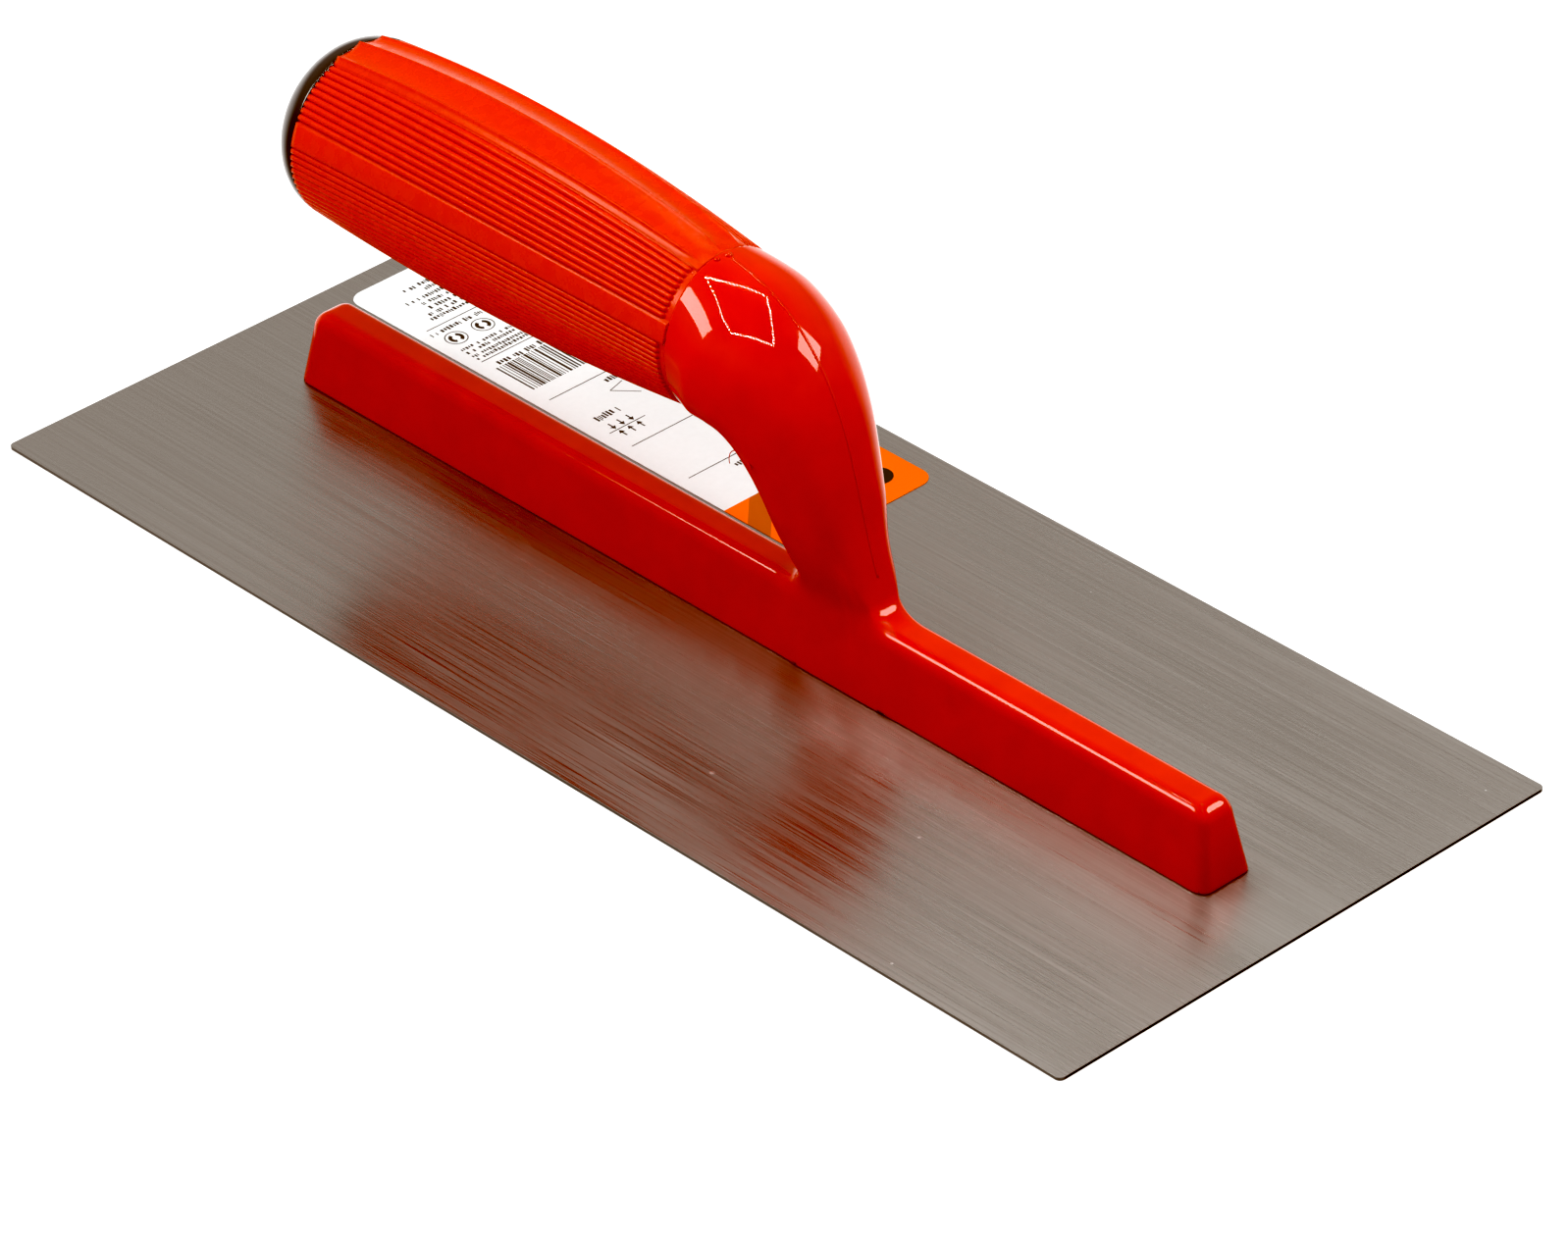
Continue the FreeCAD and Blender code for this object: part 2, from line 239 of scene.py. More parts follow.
# Dust: sparse pale specks of two sizes, as a mask.
dust, dust_in, dust_out = new_group("dust", [("Scale", 350.0), ("Amount", 0.03)], ["Mask"])
dust_place = add_node(dust, "ShaderNodeTexCoord")
dust_cells = add_node(dust, "ShaderNodeTexVoronoi", inputs={"Randomness": 1.0})
dust.links.new(dust_place.outputs["Object"], dust_cells.inputs["Vector"])
dust.links.new(dust_in.outputs["Scale"], dust_cells.inputs["Scale"])
dust_pick = add_node(dust, "ShaderNodeSeparateColor")
dust.links.new(dust_cells.outputs["Color"], dust_pick.inputs["Color"])
dust_chosen = combine(dust, "LESS_THAN", dust_pick.outputs["Red"], dust_in.outputs["Amount"])
dust_size = combine(dust, "MULTIPLY", dust_pick.outputs["Green"], 0.16)
dust_near = combine(dust, "LESS_THAN", dust_cells.outputs["Distance"], dust_size)
dust.links.new(combine(dust, "MULTIPLY", dust_chosen, dust_near), dust_out.inputs["Mask"])

STEEL_DARK = (0.43, 0.425, 0.41)
STEEL_LIGHT = (0.58, 0.575, 0.555)
STEEL_DUST = (0.85, 0.84, 0.82)

ground_steel, steel_shader = new_material("ground_steel")
steel = ground_steel.node_tree
steel_grain = place_group(steel, belt_grain, {"Fine": 5600.0, "Broad": 1700.0, "Length": 0.004})
steel_clouds = object_noise(steel, (12.0, 40.0, 40.0), 1.0, 3.0)
steel_dust = place_group(steel, dust, {"Scale": 300.0, "Amount": 0.006})
steel_tone = combine(steel, "ADD", combine(steel, "MULTIPLY", steel_grain.outputs["Shade"], 0.8),
                     combine(steel, "MULTIPLY", steel_clouds, 0.2))
steel_colour = blend_colours(steel, remap(steel, steel_tone, 0.35, 0.65, 0.0, 1.0),
                             STEEL_DARK, STEEL_LIGHT)
steel_colour = blend_colours(steel, steel_dust.outputs["Mask"], steel_colour, STEEL_DUST)
steel_haze = combine(steel, "ADD", combine(steel, "MULTIPLY", steel_grain.outputs["Fine"], 0.7),
                     combine(steel, "MULTIPLY", steel_clouds, 0.3))
steel_wave = bump(steel, steel_grain.outputs["Broad"], 0.003 * MM)
feed_shader(steel, steel_shader, steel_colour, remap(steel, steel_haze, 0.38, 0.56, 0.19, 0.46),
            bump(steel, steel_grain.outputs["Fine"], 0.0015 * MM, 1.0, steel_wave))
steel_shader.inputs["Metallic"].default_value = 1.0
steel_shader.inputs["Anisotropic"].default_value = 0.6
steel_tangent = add_node(steel, "ShaderNodeTangent", {"direction_type": "UV_MAP", "uv_map": "UVMap"})
steel.links.new(steel_tangent.outputs["Tangent"], steel_shader.inputs["Tangent"])

blade = eased_plate("blade_sheet", blade_low, blade_high, BLADE_CORNER, BLADE_EDGE, BLADE_CORNER_STEPS)
lay_uv(blade, blade_high.x - blade_low.x)
blade.data.materials.append(ground_steel)
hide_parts("blade")
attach(blade, "root")

# ---- Welded studs ---------------------------------------------------------------------------
# Five headed steel studs, projection-welded to the blade and moulded into the bar, so nothing of
# them shows from outside. They keep their CAD shape, in plain drawn steel with a dull skin.

STUD_DARK = (0.30, 0.29, 0.28)
STUD_LIGHT = (0.50, 0.48, 0.46)

drawn_steel, stud_shader = new_material("drawn_steel")
stud_tree = drawn_steel.node_tree
stud_marks = object_noise(stud_tree, (1.0, 1.0, 0.2), 900.0, 3.0)
feed_shader(stud_tree, stud_shader, blend_colours(stud_tree, stud_marks, STUD_DARK, STUD_LIGHT),
            remap(stud_tree, stud_marks, 0.3, 0.7, 0.35, 0.5), bump(stud_tree, stud_marks, 0.02 * MM))
stud_shader.inputs["Metallic"].default_value = 1.0
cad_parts["weld_studs"].data.materials.clear()
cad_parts["weld_studs"].data.materials.append(drawn_steel)

# ---- Handle moulding ------------------------------------------------------------------------
# One moulding in glossy red plastic: a drafted bar along the blade and a gooseneck that rises
# from it and swells into the collar of the grip. Its shape is found as the zero surface of a
# distance that joins bar and neck with the fillets of the mould. Sizes here are in millimetres.

moulding_low, moulding_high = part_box("handle_moulding")
sleeve_low, sleeve_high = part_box("grip_sleeve")
BLADE_TOP_MM = BLADE_TOP / MM
BAR_HEEL, BAR_TOE = moulding_low.x / MM, moulding_high.x / MM
BAR_FOOT_HALF = 7.1
BAR_HEEL_HEIGHT, BAR_TOE_HEIGHT = 15.5, 15.4
BAR_DRAFT = math.radians(9.4)
BAR_ROUNDING = 3.0
BAR_HEEL_ROUNDING = 3.4
BAR_FOOT_ROUNDING = 0.35
COLLAR_X = sleeve_high.x / MM
NECK_START = (COLLAR_X, 58.85)
NECK_REACH, NECK_RISE = 23.3, 22.4
NECK_FORWARD, NECK_LEAN = 31.8, 0.39
NECK_ROOT = 11.0
NECK_DEPTH, NECK_TAPER, NECK_WAIST = 15.75, 6.95, 1.82
SHOULDER_AT, SHOULDER_HALF, SHOULDER_RISE = 0.14, 0.16, 0.6
NECK_SHARES = (0.0, 0.1, 0.25, 0.38, 0.5, 0.62, 0.75, 0.88, 1.0)
NECK_HALF_WIDTHS = (14.9, 16.2, 15.3, 13.8, 12.4, 10.9, 9.3, 7.6, 6.1)
NECK_SMOOTHINGS = 60
NECK_BACK_SQUARE, NECK_BACK_THIN = 2.2, 0.11
COLLAR_ROUNDING = 0.25
NECK_POINTS = 400
NECK_SPACING = 0.4
SKIN_STEP = 0.5
BATCH = 40000
STUD_COUNT, STUD_HEEL_INSET, STUD_PITCH = 5, 11.8, 55.0
SINK_HEIGHT, SINK_RADIUS, SINK_DEPTH = 8.0, 2.1, 0.18


def step_between(value, low, high):
    """0 below low, 1 above high, smooth between."""
    share = np.clip((value - low) / (high - low), 0.0, 1.0)
    return share * share * (3.0 - 2.0 * share)


def neck_centre_line():
    """Points, directions and the section's half depth, half width and squareness along the neck."""
    top = np.array(NECK_START)
    foot = np.array([COLLAR_X + NECK_FORWARD, BLADE_TOP_MM + BAR_TOE_HEIGHT])
    ahead = top + np.array([NECK_REACH, 0.0])
    above = foot + np.array([-NECK_LEAN * NECK_RISE, NECK_RISE])
    t = np.linspace(0.0, 1.0, NECK_POINTS)
    u = t[:, None]
    line = (top * (1 - u) ** 3 + ahead * 3 * u * (1 - u) ** 2 + above * 3 * u * u * (1 - u)
            + foot * u ** 3)
    way = (ahead - top) * (1 - u) ** 2 + (above - ahead) * 2 * u * (1 - u) + (foot - above) * u * u
    way /= np.linalg.norm(way, axis=1)[:, None]
    depth = (NECK_DEPTH - NECK_TAPER * t - NECK_WAIST * 4 * t * (1 - t)
             + SHOULDER_RISE * np.exp(-((t - SHOULDER_AT) / SHOULDER_HALF) ** 2))
    side = np.interp(t, NECK_SHARES, NECK_HALF_WIDTHS)
    square = 2.0 + 2.0 * t ** 3
    for _ in range(NECK_SMOOTHINGS):
        side[1:-1] = (side[:-2] + side[1:-1] * 2 + side[2:]) / 4
    line = np.vstack([line, line[-1] + way[-1] * NECK_ROOT])
    run = np.append(0.0, np.cumsum(np.linalg.norm(np.diff(line, axis=0), axis=1)))
    even = np.arange(0.0, run[-1], NECK_SPACING)
    table = np.column_stack([line, np.vstack([way, way[-1:]]), np.append(depth, depth[-1]),
                             np.append(side, side[-1]), np.append(square, square[-1])])
    table = np.stack([np.interp(even, run, column) for column in table.T], 1)
    turn = np.unwrap(np.arctan2(table[:, 3], table[:, 2]))
    bend = -np.gradient(turn, NECK_SPACING)
    return table[:, 0:2], table[:, 2:4], table[:, 4], table[:, 5], table[:, 6], bend


NECK = neck_centre_line()


def rounded_corner(first, second, radius):
    """Inside both, with the edge where they meet rounded to the radius."""
    a, b = first + radius, second + radius
    return (np.minimum(np.maximum(a, b), 0.0)
            + np.hypot(np.maximum(a, 0.0), np.maximum(b, 0.0)) - radius)


def neck_distance(p):
    """Distance outside the gooseneck, negative inside."""
    line, way, depth, side, square, bend = NECK
    result = np.empty(len(p))
    for start in range(0, len(p), BATCH):
        q = p[start:start + BATCH]
        dx = q[:, None, 0] - line[None, :, 0]
        dz = q[:, None, 2] - line[None, :, 1]
        near = np.argmin(dx * dx + dz * dz, axis=1)
        pick = np.arange(len(q))
        dx, dz = dx[pick, near], dz[pick, near]
        along = dx * way[near, 0] + dz * way[near, 1]
        across = -dx * way[near, 1] + dz * way[near, 0]
        spread = np.maximum(1.0 + bend[near] * across, 0.15)
        place = np.clip(near + along / NECK_SPACING / spread, 0, len(line) - 1.001)
        lower = place.astype(int)
        share = place - lower
        a = depth[lower] * (1 - share) + depth[lower + 1] * share
        b = side[lower] * (1 - share) + side[lower + 1] * share
        n = square[lower] * (1 - share) + square[lower + 1] * share
        sway = way[lower] * (1 - share)[:, None] + way[lower + 1] * share[:, None]
        middle = line[lower] * (1 - share)[:, None] + line[lower + 1] * share[:, None]
        across = -(q[:, 0] - middle[:, 0]) * sway[:, 1] + (q[:, 2] - middle[:, 1]) * sway[:, 0]
        run = place / (len(line) - 1.0)
        waist = np.clip(run * 4.0, 0.0, 1.0) * np.clip((1.0 - run) * 4.0, 0.0, 1.0)
        n = np.where(across < 0, 2.0 + NECK_BACK_SQUARE * np.clip(run * 1.6, 0.0, 1.0), n)
        a = np.where(across < 0, a * (1.0 - NECK_BACK_THIN * waist), a)
        level = ((np.abs(across) / a) ** n + (np.abs(q[:, 1]) / b) ** n) ** (1 / n)
        body = (level - 1.0) * np.minimum(a, b)
        result[start:start + BATCH] = rounded_corner(body, COLLAR_X - q[:, 0], COLLAR_ROUNDING)
    return result


def bar_side(p):
    """Distance outside the bar's drafted side planes."""
    drafted = np.abs(p[:, 1]) - BAR_FOOT_HALF + (p[:, 2] - BLADE_TOP_MM) * math.tan(BAR_DRAFT)
    plane = drafted * math.cos(BAR_DRAFT)
    for stud in range(STUD_COUNT):
        off = np.hypot(p[:, 0] - BAR_HEEL - STUD_HEEL_INSET - stud * STUD_PITCH, p[:, 2] - SINK_HEIGHT)
        plane = plane + SINK_DEPTH * np.exp(-(off / SINK_RADIUS) ** 4)
    return plane


def bar_distance(p):
    """Distance outside the drafted bar, negative inside."""
    x, z = p[:, 0], p[:, 2] - BLADE_TOP_MM
    share = (x - BAR_HEEL) / (BAR_TOE - BAR_HEEL)
    top = z - BAR_HEEL_HEIGHT - (BAR_TOE_HEIGHT - BAR_HEEL_HEIGHT) * share
    lean, slope = math.cos(BAR_DRAFT), math.tan(BAR_DRAFT)
    ends = np.maximum((BAR_HEEL - x + z * slope) * lean, (x - BAR_TOE + z * slope) * lean)
    end_rounding = BAR_HEEL_ROUNDING + (BAR_ROUNDING - BAR_HEEL_ROUNDING) * step_between(share, 0.0, 1.0)
    profile = rounded_corner(ends, top, end_rounding)
    return rounded_corner(profile, bar_side(p), BAR_ROUNDING)


FLUSH_HEIGHT, FLUSH_EASE, FLUSH_OPENING = 16.0, 1.8, 0.60
FLUSH_ROUNDING = 2.4
FILLET_BEHIND, FILLET_LESS_IN_FRONT = 7.5, 3.8
FILLET_FROM, FILLET_TO = 19.0, 29.0
VALLEY_X, VALLEY_TOP, VALLEY_LEAN = 28.6, 31.0, 0.13
VALLEY_HALF, VALLEY_DEPTH = 2.7, 1.0
VALLEY_START, VALLEY_FULL, VALLEY_FADE, VALLEY_END = 5.0, 13.0, VALLEY_TOP - 7.0, VALLEY_TOP + 5.0


def flush_side(p):
    """Distance outside the widest the moulding may be: the bar's sides, then a neck that opens out."""
    z = p[:, 2] - BLADE_TOP_MM
    opening = FLUSH_EASE * np.log1p(np.exp(np.minimum((z - FLUSH_HEIGHT) / FLUSH_EASE, 30.0)))
    half = BAR_FOOT_HALF - z * math.tan(BAR_DRAFT) + FLUSH_OPENING * opening
    return (np.abs(p[:, 1]) - half) * math.cos(BAR_DRAFT)


def moulding_distance(p):
    """Bar and neck in one, joined by fillets, with flush sides and a shallow hollow at the foot."""
    bar, neck = bar_distance(p), neck_distance(p)
    fillet = FILLET_BEHIND - FILLET_LESS_IN_FRONT * step_between(p[:, 0], FILLET_FROM, FILLET_TO)
    mix = np.maximum(fillet - np.abs(bar - neck), 0.0) / fillet
    joined = np.minimum(bar, neck) - mix * mix * fillet / 4.0
    joined = rounded_corner(joined, flush_side(p), FLUSH_ROUNDING)
    valley = (p[:, 0] - VALLEY_X - (VALLEY_TOP - p[:, 2]) * VALLEY_LEAN) / VALLEY_HALF
    level = (step_between(p[:, 2], VALLEY_START, VALLEY_FULL)
             * (1 - step_between(p[:, 2], VALLEY_FADE, VALLEY_END)))
    flank = step_between(np.abs(p[:, 1]), 1.5, 4.0)
    joined = joined + VALLEY_DEPTH * level * np.exp(-valley ** 2) * flank
    return rounded_corner(joined, BLADE_TOP_MM - p[:, 2], BAR_FOOT_ROUNDING)


def skin_of(distance, low, high, step):
    """Quads over the zero surface of a distance: one point per crossed cell, pulled onto it."""
    count = [int(math.ceil((high[k] - low[k]) / step / 4)) * 4 + 1 for k in range(3)]
    axes = [low[k] + step * np.arange(count[k]) for k in range(3)]
    coarse = np.stack(np.meshgrid(*[axis[::4] for axis in axes], indexing="ij"), -1)
    rough = distance(coarse.reshape(-1, 3)).reshape(coarse.shape[:3])
    for axis in range(3):
        rough = np.repeat(rough, 4, axis)
    rough = rough[2:, 2:, 2:][:count[0], :count[1], :count[2]]
    value = np.full(count, 1.0)
    value[:rough.shape[0], :rough.shape[1], :rough.shape[2]] = rough
    near = np.abs(value) < step * 8
    place = np.argwhere(near)
    value[near] = distance(np.array(low) + step * place)
    inside = value < 0
    corners = sum(inside[i:count[0] - 1 + i, j:count[1] - 1 + j, k:count[2] - 1 + k].astype(np.int8)
                  for i in (0, 1) for j in (0, 1) for k in (0, 1))
    crossed = (corners > 0) & (corners < 8)
    index = -np.ones(crossed.shape, np.int64)
    index[crossed] = np.arange(crossed.sum())
    points = np.array(low) + step * (np.argwhere(crossed) + 0.5)
    for _ in range(5):
        points = pulled_on(distance, points, step)
    faces = []
    for axis in range(3):
        u, v = (axis + 1) % 3, (axis + 2) % 3
        first, second = [slice(1, -1)] * 3, [slice(1, -1)] * 3
        first[axis], second[axis] = slice(0, -1), slice(1, None)
        change = np.argwhere(inside[tuple(first)] != inside[tuple(second)])
        change[:, u] += 1
        change[:, v] += 1
        leaving = inside[tuple(change.T)]
        back_u, back_v = np.eye(3, dtype=int)[u], np.eye(3, dtype=int)[v]
        quad = np.stack([index[tuple((change - back_u - back_v).T)], index[tuple((change - back_v).T)],
                         index[tuple(change.T)], index[tuple((change - back_u).T)]], 1)
        quad[~leaving] = quad[~leaving][:, ::-1]
        faces.append(quad)
    return points, np.vstack(faces)


def slope_of(distance, points):
    """Unit directions in which the distance grows fastest."""
    reach = 0.06
    slope = np.stack([distance(points + reach * np.eye(3)[k]) - distance(points - reach * np.eye(3)[k])
                      for k in range(3)], 1)
    return slope / np.maximum(np.linalg.norm(slope, axis=1), 1e-9)[:, None]


def pulled_on(distance, points, step):
    """The points moved along the distance's slope towards its zero, by less than a step."""
    small = step * 0.05
    here = distance(points)
    slope = np.stack([distance(points + small * np.eye(3)[k]) - here for k in range(3)], 1) / small
    move = slope * (here / np.maximum((slope ** 2).sum(1), 1e-6))[:, None]
    length = np.linalg.norm(move, axis=1)
    return points - move * np.minimum(1.0, step * 0.7 / np.maximum(length, 1e-9))[:, None]


skin_low = (BAR_HEEL - 1.0, -18.0, BLADE_TOP_MM - 1.0)
skin_high = (BAR_TOE + 1.0, 18.0, sleeve_high.z / MM)
moulding_points, moulding_faces = skin_of(moulding_distance, skin_low, skin_high, SKIN_STEP)

# Moulded skin: a faint orange peel and a slow waviness as heights, and a mottled gloss.
moulded_skin, skin_in, skin_out = new_group(
    "moulded_skin", [("Peel", 2600.0), ("Wave", 160.0)], ["Peel", "Wave", "Gloss"])
skin_place = add_node(moulded_skin, "ShaderNodeTexCoord")
for peel_name, out_name, detail in (("Peel", "Peel", 2.0), ("Wave", "Wave", 2.0), ("Wave", "Gloss", 4.0)):
    skin_noise = add_node(moulded_skin, "ShaderNodeTexNoise", inputs={"Detail": detail})
    moulded_skin.links.new(skin_place.outputs["Object"], skin_noise.inputs["Vector"])
    moulded_skin.links.new(skin_in.outputs[peel_name], skin_noise.inputs["Scale"])
    moulded_skin.links.new(skin_noise.outputs["Fac"], skin_out.inputs[out_name])

RED_DEEP = (0.53, 0.026, 0.0006)
RED_BRIGHT = (0.57, 0.032, 0.0008)
RED_DUST = (0.85, 0.35, 0.28)

glossy_red, red_shader = new_material("glossy_red_plastic")
red = glossy_red.node_tree
red_skin = place_group(red, moulded_skin, {"Peel": 2200.0, "Wave": 120.0})
red_dust = place_group(red, dust, {"Scale": 260.0, "Amount": 0.010})
red_colour = blend_colours(red, remap(red, red_skin.outputs["Gloss"], 0.35, 0.65, 0.0, 1.0),
                           RED_DEEP, RED_BRIGHT)
red_colour = blend_colours(red, red_dust.outputs["Mask"], red_colour, RED_DUST)
red_wave = bump(red, red_skin.outputs["Wave"], 0.027 * MM)
feed_shader(red, red_shader, red_colour, remap(red, red_skin.outputs["Gloss"], 0.35, 0.65, 0.03, 0.07),
            bump(red, red_skin.outputs["Peel"], 0.002 * MM, 1.0, red_wave))
red_shader.inputs["IOR"].default_value = 1.5

moulding = piece_from("handle_bar_and_neck", moulding_points * MM, moulding_faces.tolist())
moulding_normals = slope_of(moulding_distance, moulding_points)
moulding.data.normals_split_custom_set_from_vertices(moulding_normals.tolist())
moulding.data.materials.append(glossy_red)
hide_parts("handle_moulding")
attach(moulding, "root")

# The two mould halves meet in a thin raised line down the front of the neck. Where the plastic was
# let in, by the collar, two small blobs are left, and a curl of flash hangs on behind.

LINE_HALF, LINE_HEIGHT, LINE_SUNK, LINE_EDGE_SUNK = 0.32, 0.15, 0.2, 0.03
LINE_SECTION = ((-LINE_HALF, -LINE_SUNK), (-LINE_HALF, -LINE_EDGE_SUNK),
                (-LINE_HALF * 0.4, LINE_HEIGHT * 0.8), (0.0, LINE_HEIGHT),
                (LINE_HALF * 0.4, LINE_HEIGHT * 0.8), (LINE_HALF, -LINE_EDGE_SUNK),
                (LINE_HALF, -LINE_SUNK))
LINE_END_HEIGHT = 20.5


def rod_faces(rings, count):
    """Quads that join the rings of a rod, and a face over each of its ends."""
    last = (rings - 1) * count
    return joined_rings(rings, count) + [tuple(reversed(range(count))), tuple(range(last, last + count))]


line_points = []
neck_line, neck_way = NECK[0], NECK[1]
front_end = int(np.argmin(np.abs(neck_line[:, 1] - LINE_END_HEIGHT)))
for k in range(3, front_end, 2):
    away = np.array([-neck_way[k, 1], 0.0, neck_way[k, 0]])
    reach = np.arange(5.0, 20.0, 0.02)
    tried = np.array([neck_line[k, 0], 0.0, neck_line[k, 1]]) + reach[:, None] * away
    surface = tried[int(np.argmax(moulding_distance(tried) > 0))]
    for y, height in LINE_SECTION:
        line_points.append(surface + height * away + np.array([0.0, y, 0.0]))
line_faces = rod_faces(len(line_points) // len(LINE_SECTION), len(LINE_SECTION))
parting_line = piece_from("neck_parting_line", np.array(line_points) * MM, line_faces)
parting_line.data.materials.append(glossy_red)
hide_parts("handle_moulding")
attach(parting_line, "root")


def dome(name, middle, radius, height, rings=6, around=20):
    """A low round blob standing on a level surface, in millimetres."""
    points = []
    for ring_at in range(rings):
        turn = math.pi / 2 * ring_at / rings
        for k in range(around):
            angle = 2 * math.pi * k / around
            points.append((middle[0] + radius * math.cos(turn) * math.cos(angle),
                           middle[1] + radius * math.cos(turn) * math.sin(angle),
                           middle[2] + height * math.sin(turn)))
    faces = joined_rings(rings, around)
    points.append((middle[0], middle[1], middle[2] + height))
    last = (rings - 1) * around
    faces += [(last + k, last + (k + 1) % around, len(points) - 1) for k in range(around)]
    faces.append(tuple(reversed(range(around))))
    return piece_from(name, np.array(points) * MM, faces)


BLOB_SUNK, BLOB_HEIGHT = 0.3, 0.75
for name, x, y, radius in (("gate_blob_front", -2.7, 0.1, 0.85), ("gate_blob_back", -3.1, -2.2, 0.65)):
    heights = np.arange(65.0, 78.0, 0.02)
    over = np.column_stack([np.full_like(heights, x), np.full_like(heights, y), heights])
    surface_z = float(heights[np.argmax(moulding_distance(over) > 0)])
    blob = dome(name, (x, y, surface_z - BLOB_SUNK), radius, BLOB_HEIGHT)
    blob.data.materials.append(glossy_red)
    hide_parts("handle_moulding")
    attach(blob, "root")

CURL_RADIUS, CURL_HALF = 4.1, 0.17
CURL_MIDDLE = (12.3, 41.2)
CURL_START, CURL_SWEEP = 35.0, 150.0
CURL_ROOT_Y, CURL_TIP_SHIFT, CURL_THINNING = -12.5, 1.6, 0.6
CURL_RINGS, CURL_SIDES = 22, 6
curl_points = []
for ring_at in range(CURL_RINGS):
    share = ring_at / (CURL_RINGS - 1)
    turn = math.radians(CURL_START + CURL_SWEEP * share)
    out = np.array([math.cos(turn), 0.0, math.sin(turn)])
    across = np.array([0.0, 1.0, 0.0])
    middle = (np.array([CURL_MIDDLE[0], CURL_ROOT_Y + CURL_TIP_SHIFT * share, CURL_MIDDLE[1]])
              + CURL_RADIUS * out)
    half = CURL_HALF * (1.0 - CURL_THINNING * share)
    for k in range(CURL_SIDES):
        angle = 2 * math.pi * k / CURL_SIDES
        curl_points.append(middle + half * (math.cos(angle) * out + math.sin(angle) * across))
flash_curl = piece_from("flash_curl", np.array(curl_points) * MM, rod_faces(CURL_RINGS, CURL_SIDES))
flash_curl.data.materials.append(glossy_red)
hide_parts("handle_moulding")
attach(flash_curl, "root")

# ---- Grip sleeve ----------------------------------------------------------------------------
# A softer, satin red sleeve over the core, from the collar to the cap. Lengthways it is a barrel
# that tapers in plan. Round it run a crest on top with a flute and a ridge on each side, a group
# of nine round ribs, a plain side band, and ribs again underneath.

SEAM = 0.2 * MM
SLEEVE_HEEL, SLEEVE_TOE = sleeve_low.x, sleeve_high.x - SEAM
SLEEVE_LENGTH = SLEEVE_TOE - SLEEVE_HEEL
SLEEVE_WALL = 2.4 * MM
BARREL_MIDDLE, BARREL_REACH = -57.0, 50.0
BARREL_CENTRE = (59.38, 0.48, 0.58)
BARREL_SIDE = (16.91, 1.50, 0.22)
BARREL_HEIGHT = (20.59, 0.33, 4.05)
RIB_PITCH = math.radians(4.45)
RIB_HEIGHT = 0.65 * MM
RIB_GROUPS = ((22.2, 9), (79.5, 17))
RIDGE_ANGLE = math.radians(17.0)
RIDGE_FOOT = math.radians(21.5)
CREST_HEIGHT, RIDGE_HEIGHT, FLUTE_DEPTH = 0.80 * MM, 0.60 * MM, 0.65 * MM
BEAD_HEIGHT, BEAD_HALF = 0.20 * MM, math.radians(0.8)
CREST_FADE = 5.0 * MM
TIP_GAP = 1.3 * MM
ALONG, ALONG_SHARE, FINE_STATIONS = 110, 0.965, 22
RIB_STEPS, FLUTE_STEPS = 12, 11
EDGE_TURNS = (0.35, 0.8, 1.4)


def sleeve_turns():
    """Angles round the sleeve from the crest, with every rib and edge sampled at the same places."""
    ridge, foot = math.degrees(RIDGE_ANGLE), math.degrees(RIDGE_FOOT)
    turns = [0.0, *EDGE_TURNS] + list(np.linspace(2.4, ridge - 2.4, FLUTE_STEPS))
    turns += [ridge - off for off in reversed(EDGE_TURNS)] + [ridge]
    turns += [ridge + off for off in EDGE_TURNS]
    turns += list(np.linspace(ridge + 2.2, foot, 4))
    pitch = math.degrees(RIB_PITCH)
    for start, count in RIB_GROUPS:
        turns += list(np.arange(turns[-1] + 1.5, start - 0.7, 1.5)) + [start]
        for rib in range(count):
            turns += [start + pitch * (rib + 0.5 - 0.5 * math.cos(math.pi * k / RIB_STEPS))
                      for k in range(1, RIB_STEPS + 1)]
    turns += list(np.arange(turns[-1] + 2.0, 179.0, 2.0)) + [180.0]
    return [math.radians(turn) for turn in turns + [360.0 - turn for turn in turns[-2:0:-1]]]


def sleeve_section(x):
    """Centre height, half width and half height of the plain barrel at x, from the blade's top."""
    along = (x / MM - BARREL_MIDDLE) / BARREL_REACH
    centre, side, height = [middle - slope * along - bow * along ** 2
                            for middle, slope, bow in (BARREL_CENTRE, BARREL_SIDE, BARREL_HEIGHT)]
    return BLADE_TOP + centre * MM, side * MM, height * MM


def rib_relief(turn, x, radius):
    """How far the ribbed skin stands below its rib tops. turn is the angle from the crest."""
    relief = 0.0
    for start, count in RIB_GROUPS:
        first = math.radians(start)
        last = first + count * RIB_PITCH
        if not first <= turn <= last:
            continue
        rib = min(int((turn - first) / RIB_PITCH), count - 1)
        off = (turn - first - (rib + 0.5) * RIB_PITCH) * radius
        half = RIB_PITCH * radius / 2
        tip = max(0.0, x - (SLEEVE_TOE - TIP_GAP - half))
        reach = min(1.0, math.hypot(off, tip) / half)
        relief = RIB_HEIGHT * (1.0 - (1.0 - reach * reach) ** 0.5)
    return relief


def crest_relief(turn, x):
    """How far the crest, its flutes and the ridges stand out of the plain barrel."""
    if turn >= RIDGE_FOOT:
        return 0.0
    if turn < RIDGE_ANGLE:
        share = turn / RIDGE_ANGLE
        rise = (CREST_HEIGHT + (RIDGE_HEIGHT - CREST_HEIGHT) * share
                - FLUTE_DEPTH * 4 * share * (1 - share))
    else:
        share = (turn - RIDGE_ANGLE) / (RIDGE_FOOT - RIDGE_ANGLE)
        rise = RIDGE_HEIGHT * (1 - share) ** 1.5
    rise += BEAD_HEIGHT * (math.exp(-(turn / BEAD_HALF) ** 2)
                           + math.exp(-((turn - RIDGE_ANGLE) / BEAD_HALF) ** 2))
    return rise * float(step_between(SLEEVE_TOE - x, -0.5 * MM, CREST_FADE))


